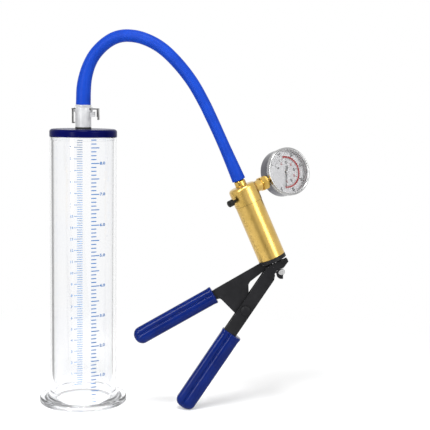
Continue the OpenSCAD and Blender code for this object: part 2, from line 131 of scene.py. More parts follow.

# %% [markdown]
# A Bezier curve with automatic handles would overshoot between close points, so the handles
# are set one by one: each one lies along the line between its two neighbours and reaches a third
# of the way to the next point.

# %% Hose curve
hose_data = bpy.data.curves.new("hose_line", "CURVE")
hose_data.dimensions = "3D"
hose_data.bevel_depth = HOSE_D / 2
hose_data.bevel_resolution = 8
hose_data.resolution_u = 10
hose_data.use_fill_caps = True
line = hose_data.splines.new("BEZIER")
line.bezier_points.add(len(hose_points) - 1)
for i, (spot, (_, _, width)) in enumerate(zip(line.bezier_points, HOSE_STEPS)):
    here = hose_points[i]
    before = hose_points[max(i - 1, 0)]
    after = hose_points[min(i + 1, len(hose_points) - 1)]
    along = (after - before).normalized()
    spot.handle_left_type = spot.handle_right_type = "FREE"
    spot.co = here
    spot.handle_left = here - along * (here - before).length / 3
    spot.handle_right = here + along * (after - here).length / 3
    spot.radius = width
drawn = bpy.data.objects.new("hose_line", hose_data)
bpy.context.collection.objects.link(drawn)

# %% [markdown]
# The curve is then made a mesh, so that it has a true size and takes its finish like any other
# piece. The points along its middle are kept, because they are the hose's path.

# %% Hose as a mesh
PATH_STEPS = 9
MERGE = 0.000001
hose_path = [hose_points[0]]
for one, two in zip(line.bezier_points, line.bezier_points[1:]):
    hose_path += interpolate_bezier(one.co, one.handle_right, two.handle_left, two.co,
                                    PATH_STEPS)[1:]
bpy.context.view_layer.update()
hose_mesh = bpy.data.meshes.new_from_object(
    drawn.evaluated_get(bpy.context.evaluated_depsgraph_get()))
hose_mesh.name = "blue_hose"
shape = bmesh.new()
shape.from_mesh(hose_mesh)
bmesh.ops.remove_doubles(shape, verts=shape.verts, dist=MERGE)
bmesh.ops.recalc_face_normals(shape, faces=shape.faces)
for face in shape.faces:
    face.smooth = True
shape.to_mesh(hose_mesh)
shape.free()
hose_mesh.set_sharp_from_angle(angle=math.radians(50))
bpy.data.objects.remove(drawn)
hose = bpy.data.objects.new("blue_hose", hose_mesh)
bpy.context.collection.objects.link(hose)
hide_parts("hose")
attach(hose, "pump")

# %% [markdown]
# ## Materials
#
# Each finish is a small node tree on the object's own coordinates, so a pattern stays put
# when a piece moves. Values that are the same all over go straight on the shader's sockets.
# Small helpers do the wiring: they make the shader, add a noise pattern, spread it between two
# values, link it to a socket, or turn it into a bump.

# %% Material helpers
def finish_of(name, **values):
    """A new material; every keyword is a socket of the shader, with _ for a space."""
    made = bpy.data.materials.new(name)
    made.use_nodes = True
    shader = made.node_tree.nodes["Principled BSDF"]
    for socket, value in values.items():
        shader.inputs[socket.replace("_", " ")].default_value = value
    return made


def pattern(made, scale, detail=3.0, stretch=(1, 1, 1), turned=(0, 0, 0), kind="Fac"):
    """Noise on Object coordinates. scale is in cells a metre; stretch and turned shape it."""
    tree = made.node_tree
    where = tree.nodes.new("ShaderNodeTexCoord")
    place = tree.nodes.new("ShaderNodeMapping")
    place.inputs["Rotation"].default_value = turned
    place.inputs["Scale"].default_value = stretch
    noise = tree.nodes.new("ShaderNodeTexNoise")
    noise.inputs["Scale"].default_value = scale
    noise.inputs["Detail"].default_value = detail
    tree.links.new(where.outputs["Object"], place.inputs["Vector"])
    tree.links.new(place.outputs["Vector"], noise.inputs["Vector"])
    return noise.outputs[kind]


def between(made, source, low, high, start=0.35, stop=0.65):
    """Colours from low to high as the pattern goes from start to stop."""
    ramp = made.node_tree.nodes.new("ShaderNodeValToRGB")
    ramp.color_ramp.elements[0].position = start
    ramp.color_ramp.elements[1].position = stop
    ramp.color_ramp.elements[0].color = low
    ramp.color_ramp.elements[1].color = high
    made.node_tree.links.new(source, ramp.inputs["Fac"])
    return ramp.outputs["Color"]


def drive(made, socket, source):
    """Links a value or a colour to a socket of the shader."""
    made.node_tree.links.new(source, made.node_tree.nodes["Principled BSDF"].inputs[socket])


def vary(made, socket, low, high, *noise, **shaped):
    """Lets a socket of the shader run from low to high over a noise pattern."""
    drive(made, socket, between(made, pattern(made, *noise, **shaped), low, high))


def bump(made, source, height, strength=1.0):
    """Lifts the surface by up to height metres where the pattern is bright."""
    lift = made.node_tree.nodes.new("ShaderNodeBump")
    lift.inputs["Distance"].default_value = height
    lift.inputs["Strength"].default_value = strength
    made.node_tree.links.new(source, lift.inputs["Height"])
    drive(made, "Normal", lift.outputs["Normal"])


def grey(value):
    return (value, value, value, 1)


def coat_node(name, made):
    """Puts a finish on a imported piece."""
    slots = nodes[name].data.materials
    slots.clear()
    slots.append(made)


# %% [markdown]
# The hose and the grips are coloured soft plastic. The hose has a dry, slightly waxy skin; the
# grips are dipped vinyl with a wet gloss that varies a little along the handle.

# %% Blue hose and blue vinyl
hose_skin = finish_of("hose_skin", Roughness=0.5, Specular_IOR_Level=0.12)
vary(hose_skin, "Base Color", (0.002, 0.036, 0.33, 1), (0.003, 0.045, 0.39, 1), 90)
bump(hose_skin, pattern(hose_skin, 900, 4), 0.00004, 0.6)
hose_mesh.materials.clear()
hose_mesh.materials.append(hose_skin)

vinyl = finish_of("dipped_vinyl", Specular_IOR_Level=0.13)
vary(vinyl, "Base Color", (0.0001, 0.008, 0.095, 1), (0.0003, 0.012, 0.13, 1), 60)
vary(vinyl, "Roughness", grey(0.05), grey(0.09), 220)
bump(vinyl, pattern(vinyl, 160, 2), 0.0003, 0.06)

# %% [markdown]
# Brass tube is drawn through a die and polished lengthways, so very fine lines run along it.
# They come from noise stretched along the barrel's own axis. The pump leans back PUMP_LEAN
# degrees, so the pattern is turned to follow it. A thin coat of lacquer whitens the brightest
# highlights.

# %% Brass
PUMP_LEAN = 24
turned_brass = finish_of("turned_brass", Metallic=1.0, Coat_Weight=0.3, Coat_Roughness=0.18)
grain = pattern(turned_brass, 60, 3, stretch=(12, 12, 0.4), turned=(0, math.radians(PUMP_LEAN), 0))
clouds = pattern(turned_brass, 120, 4)
drive(turned_brass, "Base Color", between(turned_brass, clouds,
      (0.55, 0.36, 0.085, 1), (0.63, 0.42, 0.115, 1)))
drive(turned_brass, "Roughness", between(turned_brass, grain, grey(0.27), grey(0.31)))

bright_brass = finish_of("bright_brass", Metallic=1.0)
vary(bright_brass, "Base Color", (0.52, 0.32, 0.065, 1), (0.64, 0.42, 0.11, 1), 150)
vary(bright_brass, "Roughness", grey(0.14), grey(0.24), 500)

# Dark brass for the ring in the head's seam: painted shade for the joint's shadow.
painted_seam_shade = finish_of("seam_shade_brass", Metallic=1.0)
vary(painted_seam_shade, "Base Color", (0.10, 0.055, 0.015, 1), (0.2, 0.12, 0.035, 1), 400)
vary(painted_seam_shade, "Roughness", grey(0.4), grey(0.6), 700)

# %% Steel, chrome and dial paint
black_steel = finish_of("blacked_steel", Specular_IOR_Level=0.16)
vary(black_steel, "Base Color", (0.006, 0.006, 0.007, 1), (0.011, 0.011, 0.0125, 1), 70, 5)
vary(black_steel, "Roughness", grey(0.38), grey(0.52), 400, 4)
bump(black_steel, pattern(black_steel, 1500, 3), 0.00003, 0.5)

bright_steel = finish_of("bright_steel", Metallic=1.0)
vary(bright_steel, "Base Color", grey(0.62), grey(0.72), 300)
vary(bright_steel, "Roughness", grey(0.2), grey(0.34), 60, 2, stretch=(30, 1, 1))

chrome = finish_of("chrome_plate", Metallic=1.0)
vary(chrome, "Base Color", grey(0.36), grey(0.43), 80)
vary(chrome, "Roughness", grey(0.14), grey(0.22), 300)

dark_plate = finish_of("dark_plate", Metallic=1.0)
vary(dark_plate, "Base Color", (0.10, 0.10, 0.115, 1), (0.15, 0.15, 0.165, 1), 90)
vary(dark_plate, "Roughness", grey(0.14), grey(0.24), 260)

dial_paint = finish_of("silvered_dial", Metallic=0.2)
vary(dial_paint, "Base Color", grey(0.69), grey(0.77), 700, 3)
vary(dial_paint, "Roughness", grey(0.36), grey(0.5), 900)

latch_steel = finish_of("latch_steel", Metallic=1.0)
vary(latch_steel, "Base Color", grey(0.07), grey(0.15), 300)
vary(latch_steel, "Roughness", grey(0.2), grey(0.32), 500)

needle_paint = finish_of("needle_paint", Specular_IOR_Level=0.2)
vary(needle_paint, "Base Color", grey(0.05), grey(0.08), 900)
vary(needle_paint, "Roughness", grey(0.3), grey(0.45), 900)

# %% Plastics and rubber
cap_plastic = finish_of("navy_cap", Specular_IOR_Level=0.025)
vary(cap_plastic, "Base Color", (0.001, 0.0018, 0.045, 1), (0.0016, 0.0026, 0.062, 1), 60)
vary(cap_plastic, "Roughness", grey(0.18), grey(0.3), 300)

black_plastic = finish_of("black_plastic", Specular_IOR_Level=0.15)
vary(black_plastic, "Base Color", grey(0.006), grey(0.014), 200)
vary(black_plastic, "Roughness", grey(0.35), grey(0.5), 700)

seal_rubber = finish_of("seal_rubber", Specular_IOR_Level=0.3)
vary(seal_rubber, "Base Color", grey(0.012), grey(0.022), 200)
vary(seal_rubber, "Roughness", grey(0.6), grey(0.75), 900)

# %% [markdown]
# Clear glass and clear plastic bend light a little and hide nothing. A renderer lets no lamp
# shine straight through a solid of glass, so what stands behind it would be too dark. Light
# Path tells the rays that look for lamps apart from the others, and those alone meet a plain
# transparent shader. The faint unevenness of the glass is in its tint and its roughness. A
# little absorption inside it greys the long paths of light near the tube's edges.

# %% Clear finishes
TUBE_DENSITY, FLANGE_DENSITY = 5, 22
MILKY_SHARE = 0.3


def clear_of(name, ior, tint, rough, scale):
    """Clear material; tint and rough each run between two values over the pattern."""
    made = finish_of(name, Transmission_Weight=1.0, IOR=ior)
    drive(made, "Base Color", between(made, pattern(made, scale), *tint))
    vary(made, "Roughness", grey(rough[0]), grey(rough[1]), scale * 2)
    tree = made.node_tree
    rays = tree.nodes.new("ShaderNodeLightPath")
    open_air = tree.nodes.new("ShaderNodeBsdfTransparent")
    open_air.inputs["Color"].default_value = (0.96, 0.96, 0.965, 1)
    choice = tree.nodes.new("ShaderNodeMixShader")
    tree.links.new(rays.outputs["Is Shadow Ray"], choice.inputs["Fac"])
    tree.links.new(tree.nodes["Principled BSDF"].outputs["BSDF"], choice.inputs[1])
    tree.links.new(open_air.outputs["BSDF"], choice.inputs[2])
    tree.links.new(choice.outputs["Shader"], tree.nodes["Material Output"].inputs["Surface"])
    return made


clear_tube = clear_of("clear_glass", 1.49, ((0.985, 0.99, 1, 1), grey(1)), (0.0, 0.003), 20)
depth = clear_tube.node_tree.nodes.new("ShaderNodeVolumeAbsorption")
depth.inputs["Color"].default_value = (0.45, 0.47, 0.5, 1)
depth.inputs["Density"].default_value = TUBE_DENSITY
clear_tube.node_tree.links.new(depth.outputs["Volume"],
                               clear_tube.node_tree.nodes["Material Output"].inputs["Volume"])
clear_fitting = clear_of("milky_moulding", 1.5, ((0.52, 0.525, 0.535, 1), (0.62, 0.625, 0.63, 1)),
                         (0.3, 0.45), 200)
milky = clear_fitting.node_tree.nodes["Principled BSDF"]
milky.inputs["Transmission Weight"].default_value = MILKY_SHARE

# %% [markdown]
# The gauge's window is flat and thin, so it bends nothing: it is a pane that lets everything
# through except the few percent that Fresnel's law mirrors, and more of it at a slant.

# %% Window of the gauge
gauge_glass = bpy.data.materials.new("gauge_window")
gauge_glass.use_nodes = True
tree = gauge_glass.node_tree
tree.nodes.remove(tree.nodes["Principled BSDF"])
through = tree.nodes.new("ShaderNodeBsdfTransparent")
through.inputs["Color"].default_value = (0.97, 0.97, 0.975, 1)
mirror = tree.nodes.new("ShaderNodeBsdfAnisotropic")
tree.links.new(between(gauge_glass, pattern(gauge_glass, 90), grey(0.02), grey(0.06)),
               mirror.inputs["Roughness"])
grazing = tree.nodes.new("ShaderNodeFresnel")
grazing.inputs["IOR"].default_value = 1.45
pane = tree.nodes.new("ShaderNodeMixShader")
tree.links.new(grazing.outputs["Fac"], pane.inputs["Fac"])
tree.links.new(through.outputs["BSDF"], pane.inputs[1])
tree.links.new(mirror.outputs["BSDF"], pane.inputs[2])
tree.links.new(pane.outputs["Shader"], tree.nodes["Material Output"].inputs["Surface"])

# %% [markdown]
# Ink is thin and a little uneven: screen printing leaves it slightly patchy, so its colour
# follows a fine noise.

# %% Inks
def ink(name, low, high):
    made = finish_of(name, Specular_IOR_Level=0.15)
    patches = pattern(made, 2500, 2)
    drive(made, "Base Color", between(made, patches, low, high))
    drive(made, "Roughness", between(made, patches, grey(0.45), grey(0.6)))
    return made


pale_ink = ink("pale_scale_ink", (0.08, 0.22, 0.45, 1), (0.12, 0.27, 0.52, 1))
blue_ink = ink("blue_scale_ink", (0.025, 0.12, 0.34, 1), (0.035, 0.16, 0.40, 1))
dial_ink = ink("black_dial_ink", grey(0.01), grey(0.03))
red_ink = ink("red_dial_ink", (0.42, 0.012, 0.012, 1), (0.52, 0.02, 0.018, 1))
pale_red_ink = ink("pale_red_dial_ink", (0.5, 0.06, 0.06, 1), (0.58, 0.1, 0.09, 1))

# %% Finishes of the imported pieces
FINISHES = {
    clear_tube: ["chamber_tube", "base_flange", "cap_spigot"],
    clear_fitting: ["coupling_body", "coupling_insert"],
    gauge_glass: ["gauge_lens"],
    cap_plastic: ["end_cap"],
    seal_rubber: ["coupling_gasket", "insert_oring", "head_oring", "inlet_valve", "piston_oring"],
    turned_brass: ["barrel", "pump_head"],
    bright_brass: ["hose_barb", "gauge_nut", "gauge_stem", "gauge_movement", "bourdon_tube"],
    black_steel: ["fixed_handle", "moving_handle", "pivot_rivet", "pin_clip"],
    latch_steel: ["thumb_latch"],
    bright_steel: ["piston_rod", "rod_pin", "return_spring", "washer_front", "washer_back",
                   "piston"],
    chrome: ["gauge_bezel"],
    dark_plate: ["gauge_case"],
    dial_paint: ["gauge_dial"],
    black_plastic: ["gauge_needle", "bleed_stem", "bleed_knob", "rod_bush"],
    vinyl: ["fixed_grip", "moving_grip"],
}
for made, names in FINISHES.items():
    for name in names:
        coat_node(name, made)
print("finishes:", len(FINISHES), "pieces coated:", sum(len(n) for n in FINISHES.values()))

# %% [markdown]
# ## Making pieces
#
# Every new piece is built in a bmesh, which is Blender's workbench for a mesh: operators add
# and bend its geometry, and at the end it becomes an object. The helper below does that last
# step the same way each time. It also marks only the sharp corners as sharp, so that round
# walls shade smoothly, and tells the frame which body the piece moves with.

# %% From a bmesh to a piece
MM = 0.001


def piece_from(shape, name, made, slot, body, *stands_for, sharp=35):
    """Makes an object of a bmesh, coats it, and lets it ride on a body."""
    for face in shape.faces:
        face.smooth = True
    mesh = bpy.data.meshes.new(name)
    shape.to_mesh(mesh)
    shape.free()
    mesh.set_sharp_from_angle(angle=math.radians(sharp))
    mesh.materials.append(made)
    piece = bpy.data.objects.new(name, mesh)
    bpy.context.collection.objects.link(piece)
    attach(piece, body)
    if stands_for:
        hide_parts(*stands_for)
    print("%s: %d faces" % (name, len(mesh.polygons)))
    return piece


# %% [markdown]
# ## Rounded steel edges
#
# Stamped steel never has a knife edge: tumbling and paint leave a small radius that catches
# the light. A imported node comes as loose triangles, so a copy of it is merged, its flat sides
# are dissolved back into single faces, and a Bevel modifier rounds what is left. Hardened
# normals keep the flat sides flat.

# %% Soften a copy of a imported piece
def softened(node, name, made, slot, body, width):
    """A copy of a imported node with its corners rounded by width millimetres."""
    shape = bmesh.new()
    shape.from_mesh(nodes[node].data)
    bmesh.ops.remove_doubles(shape, verts=shape.verts, dist=0.000002)
    bmesh.ops.dissolve_limit(shape, angle_limit=math.radians(1), verts=shape.verts,
                             edges=shape.edges)
    piece = piece_from(shape, name, made, slot, body, node)
    rounding = piece.modifiers.new("rounding", "BEVEL")
    rounding.width = width * MM
    rounding.segments = 2
    rounding.limit_method = "ANGLE"
    rounding.angle_limit = math.radians(40)
    rounding.harden_normals = True
    return piece


softened("fixed_handle", "stamped_plate", black_steel, "black_steel", "pump", 0.25)
softened("moving_handle", "folded_lever", black_steel, "black_steel", "lever", 0.22)
softened("pivot_rivet", "lever_rivet", black_steel, "black_steel", "pump", 0.2)
softened("pin_clip", "open_clip", black_steel, "black_steel", "piston_group", 0.12)
softened("thumb_latch", "latch_plate", latch_steel, "bright_steel", "latch", 0.15)
softened("gauge_nut", "union_nut", bright_brass, "brass", "pump", 0.2)
softened("pump_head", "turned_head", turned_brass, "brass", "pump", 0.35)
softened("barrel", "turned_barrel", turned_brass, "brass", "pump", 0.3)
softened("rod_pin", "headed_pin", bright_steel, "bright_steel", "piston_group", 0.15)

# %% [markdown]
# ## The spring in the barrel
#
# A coil spring under the piston is pressed together as the piston comes down. A merged copy of
# the imported spring takes its place and rides with the pump; it gets a mesh of its own, and
# the middle of its coil is worked out.

# %% Spring
wire = bmesh.new()
wire.from_mesh(nodes["return_spring"].data)
bmesh.ops.remove_doubles(wire, verts=wire.verts, dist=0.000002)
spring = piece_from(wire, "coil_spring", bright_steel, "bright_steel", "pump", "return_spring")
coil_middle = sum((vert.co for vert in spring.data.vertices), Vector())
coil_middle /= len(spring.data.vertices)
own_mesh(spring)

# %% [markdown]
# ## Dipped grips
#
# The grips are made by dipping the hot handles in liquid vinyl. The skin follows the folded
# steel inside, so a pinched crease runs along each side between a narrower upper lobe and a
# broad lower one, the end is round like a drop, and a thicker lip forms where the dip
# stopped. The section is a ring of points pushed out to whichever lobe reaches further, and
# drawn in at the crease. It is extruded ring by ring along the handle, and each ring is made
# smaller towards the tip.

# %% Section of a grip
BLEND = 30
CREASE_WIDE = 6.5
GRIP_LONG, GRIP_TIP = 76, 6.6


def lobe_reach(angle, centre, radius):
    """How far a circle reaches from the grip's axis, at an angle from straight up."""
    return centre * math.cos(angle) + math.sqrt(radius ** 2 - (centre * math.sin(angle)) ** 2)


def box_reach(angle, half_wide, half_tall):
    """The same for a rounded box."""
    side = abs(math.sin(angle)) / half_wide
    return (side ** 4 + (abs(math.cos(angle)) / half_tall) ** 4) ** -0.25


def pinched(angle, reaches, crease, deep):
    """The furthest of the lobes, drawn in by deep millimetres at the crease."""
    reach = sum(each ** BLEND for each in reaches) ** (1 / BLEND)
    away = (abs(math.degrees(angle)) - crease) / CREASE_WIDE
    return reach - deep * math.exp(-away ** 2)


def upper_section(angle):
    return pinched(angle, [lobe_reach(angle, 3.0, 4.3), lobe_reach(angle, -1.3, 6.0)], 66, 1.1)


def lower_section(angle):
    return pinched(angle, [box_reach(angle, 5.3, 8.45), lobe_reach(angle, -1.85, 6.6)], 69, 1.05)


def grip_rings(length, tip):
    """Distance along the grip and size of each ring, from the open end to the tip."""
    lip = [(0.0, 0.95), (0.15, 1.0), (0.6, 1.035), (1.5, 1.04), (2.4, 1.02), (3.6, 1.0)]
    body = [(3.6 + (length - tip - 3.6) * k / 6, 1.0) for k in range(1, 7)]
    turns = [math.radians(k * 9) for k in range(1, 11)]
    nose = [(length - tip + tip * math.sin(t), max(math.cos(t) ** 0.92, 0.04)) for t in turns]
    return lip + body + nose


# %% Grips
PUMP_FOOT = Vector((0.1588, -0.020, 0.130345))


def turned_back(degrees):
    """The pump and its handles lean back from upright about the line that runs away from us."""
    return Matrix.Rotation(math.radians(-degrees), 4, "Y")


at_pump = Matrix.Translation(PUMP_FOOT) @ turned_back(PUMP_LEAN)
at_upper = at_pump @ Matrix.Translation((-0.0563, 0, -0.0103)) @ turned_back(6.5)
at_lever = at_pump @ Matrix.Translation((-0.0373, 0, -0.0323)) @ turned_back(33.2)


def dipped_grip(name, place, section, length, tip, body, node):
    """A grip along -X: a closed circle is extruded ring by ring and each ring is shaped."""
    shape = bmesh.new()
    made = bmesh.ops.create_circle(shape, segments=96, radius=1)
    angles = {vert: math.atan2(vert.co.y, vert.co.x) for vert in made["verts"]}
    edges = list(shape.edges)
    first = True
    for distance, size in grip_rings(length, tip):
        if not first:
            grown = bmesh.ops.extrude_edge_only(shape, edges=edges)["geom"]
            fresh = {item for item in grown if isinstance(item, bmesh.types.BMVert)}
            edges = [item for item in grown if isinstance(item, bmesh.types.BMEdge)
                     and fresh.issuperset(item.verts)]
            angles = {vert: math.atan2(vert.co.y, vert.co.z) for vert in fresh}
        else:
            bmesh.ops.contextual_create(shape, geom=edges)
            first = False
        for vert, angle in angles.items():
            reach = section(angle) * size * MM
            vert.co = (-distance * MM, math.sin(angle) * reach, math.cos(angle) * reach)
    bmesh.ops.contextual_create(shape, geom=edges)
    bmesh.ops.transform(shape, matrix=place, verts=shape.verts)
    for vert in shape.verts:
        vert.co.z = max(vert.co.z, 0.0)
    bmesh.ops.recalc_face_normals(shape, faces=shape.faces)
    return piece_from(shape, name, vinyl, "blue_vinyl", body, node, sharp=75)


dipped_grip("upper_grip", at_upper, upper_section, GRIP_LONG, GRIP_TIP, "pump", "fixed_grip")
dipped_grip("lower_grip", at_lever @ Matrix.Translation((-0.023, 0, -0.0018)),
            lower_section, GRIP_LONG, GRIP_TIP, "lever", "moving_grip")

# %% [markdown]
# ## Tube and flange
#
# Glass shows every facet, so the tube and its flange are turned again as smooth rings. A
# closed outline of radius and height is spun about an axis in small steps. The tube's inner
# top edge is cut back where the cap's spigot sits. The flange has two rounded beads with a
# groove between them, and a fillet that runs up the tube.

# %% Spinning an outline
def spun(profile, place, steps=96):
    """A ring of the closed profile (radius, height) in millimetres, put in its place."""
    shape = bmesh.new()
    points = [shape.verts.new((radius * MM, 0, height * MM)) for radius, height in profile]
    edges = [shape.edges.new(pair) for pair in zip(points, points[1:] + points[:1])]
    bmesh.ops.spin(shape, geom=points + edges, cent=(0, 0, 0), axis=(0, 0, 1), dvec=(0, 0, 0),
                   angle=math.radians(360), steps=steps, use_merge=True)
    bmesh.ops.recalc_face_normals(shape, faces=shape.faces)
    bmesh.ops.transform(shape, matrix=place, verts=shape.verts)
    return shape


def bow(middle, radius, begin, finish, count=6):
    """Points on an arc; angles in degrees from the outward direction, up positive."""
    steps = [math.radians(begin + (finish - begin) * k / count) for k in range(count + 1)]
    return [(middle[0] + radius * math.cos(t), middle[1] + radius * math.sin(t)) for t in steps]


# %% Tube
tube_radius, _, tube_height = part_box("chamber_tube")[1]
tube_r, tube_top = tube_radius / MM, tube_height / MM
spigot_r, spigot_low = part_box("cap_spigot")[1][0] / MM + 0.05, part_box("cap_spigot")[0][2] / MM
TUBE_WALL = 3.0
bore = tube_r - TUBE_WALL
tube_line = [(bore, 0.5), (bore + 0.5, 0.0), (tube_r - 0.5, 0.0), (tube_r, 0.5),
             (tube_r, tube_top - 0.4), (tube_r - 0.4, tube_top), (spigot_r, tube_top),
             (spigot_r, spigot_low), (bore, spigot_low)]
piece_from(spun(tube_line, Matrix.Identity(4), 160), "smooth_tube", clear_tube, "clear_glass",
           "chamber", "chamber_tube", sharp=30)

# %% Glass of the flange
deep_glass = clear_tube.copy()
deep_glass.name = "deep_glass"
absorption = deep_glass.node_tree.nodes["Volume Absorption"]
absorption.inputs["Density"].default_value = FLANGE_DENSITY

# %% Flange
flange_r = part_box("base_flange")[1][0] / MM
flange_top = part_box("base_flange")[1][2] / MM
rim = flange_top / 2
bead = rim / 4
neck = tube_r + 0.05
fillet = flange_top - rim
flange_line = ([(neck, 0.0)] + bow((flange_r - bead, bead), bead, -90, 48)
               + bow((flange_r - bead, rim - bead), bead, -48, 90)
               + bow((tube_r + 1.2 + rim, flange_top), fillet, -90, -176, 8)
               + [(tube_r + 1.0, flange_top), (neck, flange_top)])
piece_from(spun(flange_line, Matrix.Identity(4), 160), "smooth_flange", deep_glass,
           "clear_glass", "chamber", "base_flange", sharp=40)

# %% [markdown]
# ## Printed scales
#
# The tube carries two scales in blue ink: centimetres on the far wall, read through the tube,
# and inches on the near wall. Ink is modelled as flat marks a few hundredths of a millimetre
# thick. A mark stands every 2 millimetres or every eighth of an inch. All marks of a scale are
# laid out flat in one bmesh and cut into narrow upright strips. Each point is then moved back
# onto the tube's wall, so that the marks curve with it.

# %% Flat marks and numbers
INK = 0.00006


def stamp_bar(shape, left, right, height, thick):
    """A flat bar in millimetres, facing the front."""
    size = Matrix.Diagonal(((right - left) * MM, INK, thick * MM, 1))
    middle = Matrix.Translation(((left + right) / 2 * MM, 0, height * MM))
    bmesh.ops.create_cube(shape, size=1, matrix=middle @ size)


def stamp_number(shape, words, tall, place):
    """Raised figures, tall millimetres high, centred where place puts them."""
    text = bpy.data.curves.new("figures", "FONT")
    text.body = words
    text.size = tall * MM / 0.7
    text.extrude = INK / 2
    text.offset = 0.05 * tall * MM
    text.resolution_u = 3
    text.align_x, text.align_y = "CENTER", "CENTER"
    holder = bpy.data.objects.new("figures", text)
    bpy.context.collection.objects.link(holder)
    mesh = bpy.data.meshes.new_from_object(holder)
    old = set(shape.verts)
    shape.from_mesh(mesh)
    fresh = [vert for vert in shape.verts if vert not in old]
    bmesh.ops.transform(shape, matrix=place, verts=fresh)
    bpy.data.objects.remove(holder)
    bpy.data.curves.remove(text)
    bpy.data.meshes.remove(mesh)


UPRIGHT = Matrix.Rotation(math.radians(90), 4, "X")


def number_at(shape, words, tall, x, z):
    stamp_number(shape, words, tall, Matrix.Translation((x * MM, 0, z * MM)) @ UPRIGHT)


# %% Onto the wall of the tube
def wrap(shape, side, left, right):
    """Bends flat marks onto the near (-1) or far (+1) wall."""
    for x in range(int(left) - 1, int(right) + 2):
        everything = shape.verts[:] + shape.edges[:] + shape.faces[:]
        bmesh.ops.bisect_plane(shape, geom=everything, dist=0.0000001,
                               plane_co=(x * MM, 0, 0), plane_no=(1, 0, 0))
    for vert in shape.verts:
        out = tube_radius + INK * 0.7 + side * vert.co.y
        vert.co.y = side * math.sqrt(out ** 2 - vert.co.x ** 2)
    bmesh.ops.remove_doubles(shape, verts=shape.verts, dist=0.0000002)
    bmesh.ops.recalc_face_normals(shape, faces=shape.faces)


# %% Centimetres on the far wall
CM_MARKS, CM_STEP, CM_LOW = 109, 2, 6.5
centimetres = bmesh.new()
for count in range(CM_MARKS):
    height = CM_LOW + CM_STEP * count
    whole = count % 5 == 0
    stamp_bar(centimetres, -12.2 if whole else -9.4, -4.4, height, 0.6)
    if whole and count:
        number_at(centimetres, str(count // 5), 2.1, -14.3, height)
wrap(centimetres, 1, -16, -4)
piece_from(centimetres, "centimetre_scale", pale_ink, None, "chamber")

# %% Inches on the near wall
INCH_MARKS, INCH_STEP, INCH_LOW = 70, 3.175, 6.1
inches = bmesh.new()
for count in range(INCH_MARKS):
    height = INCH_LOW + count * INCH_STEP
    labelled = (count + 1) % 8 == 0
    reach = 16.2 if labelled else 16.1 if (count + 1) % 4 == 0 else 13.9
    stamp_bar(inches, 9.9, reach, height, 0.8)
    if labelled:
        number_at(inches, "%d.0" % ((count + 1) // 8), 2.3, 18.5, height)
wrap(inches, -1, 9, 21)
piece_from(inches, "inch_scale", blue_ink, None, "chamber")

# %% [markdown]
# ## The gauge
#
# The gauge looks out along its own axis, which is the axis its needle turns on. Its dial has
# twelve o'clock away from the pump and three o'clock down along the barrel. The print is laid
# out in a flat frame with X to three o'clock, Y to twelve o'clock and Z towards the reader,
# and one matrix takes it to its place.

# %% Frame of the dial
dial_out = Vector(joints["needle_turn"]["axis"]).normalized()
dial_right = Vector(joints["piston_slide"]["axis"]).normalized()
dial_up = dial_out.cross(dial_right).normalized()
dial_middle = Vector(joints["needle_turn"]["pos_m"])
on_dial = (Matrix.Translation(dial_middle)
           @ Matrix((dial_right, dial_up, dial_out)).transposed().to_4x4())
DIAL_FACE = 2.22


def clock(angle, radius, height=DIAL_FACE):
    """A point on the dial at a clock angle in degrees, in metres."""
    turned = math.radians(angle)
    return Vector((math.sin(turned) * radius, math.cos(turned) * radius, height)) * MM


# %% Rolled bezel
bezel = spun([(18.62, 3.45), (18.62, 7.3), (18.75, 7.62), (19.05, 7.86), (19.45, 7.95),
              (19.85, 7.86), (20.12, 7.62), (20.28, 7.3), (20.34, 6.8), (20.34, 4.6),
              (20.15, 4.3), (20.34, 4.0), (20.26, 3.6), (19.9, 3.45)], on_dial)
piece_from(bezel, "rolled_bezel", chrome, "chrome", "pump", "gauge_bezel", sharp=50)


# %% [markdown]
# The needle is a slim pointer with a short counterweight, stamped from thin sheet, on a small
# bright boss. Its flat six-cornered outline is extruded to give it a thickness.

# %% Needle
NEEDLE_BACK, NEEDLE_THICK = 3.4, 0.3

needle_flat = [on_dial.inverted() @ vert.co for vert in nodes["gauge_needle"].data.vertices]
tip_point = max(needle_flat, key=lambda co: math.hypot(co.x, co.y))
needle_turned = math.atan2(tip_point.x, tip_point.y)
needle_reach = math.hypot(tip_point.x, tip_point.y) / MM
print("needle reaches %.1f mm, turned %.0f degrees"
      % (needle_reach, math.degrees(needle_turned)))
pointer = bmesh.new()
outline = [pointer.verts.new(Vector((x, y, NEEDLE_BACK)) * MM) for x, y in
           ((-0.42, -5.5), (0.42, -5.5), (0.36, 0), (0.12, needle_reach),
            (-0.12, needle_reach), (-0.36, 0))]
blade = pointer.faces.new(outline)
grown = bmesh.ops.extrude_face_region(pointer, geom=[blade])["geom"]
bmesh.ops.translate(pointer, vec=(0, 0, NEEDLE_THICK * MM),
                    verts=[item for item in grown if isinstance(item, bmesh.types.BMVert)])
bmesh.ops.recalc_face_normals(pointer, faces=pointer.faces)
turn_needle = Matrix.Rotation(-needle_turned, 4, "Z")
bmesh.ops.transform(pointer, matrix=on_dial @ turn_needle, verts=pointer.verts)
piece_from(pointer, "slim_needle", needle_paint, "black_plastic", "needle", "gauge_needle")

boss = spun([(0.05, 3.0), (1.0, 3.0), (1.0, 4.0), (0.8, 4.25), (0.05, 4.3)], on_dial, 32)
piece_from(boss, "needle_boss", bright_steel, "bright_steel", "needle")

# %% [markdown]
# Three thin rings finish the gauge: a bead in front of the window, the pale wall between the
# dial and the window, and the dark seam between the case and the bezel. The seam is painted
# shade: a ring of black rubber stands in for the shadow in the groove there.

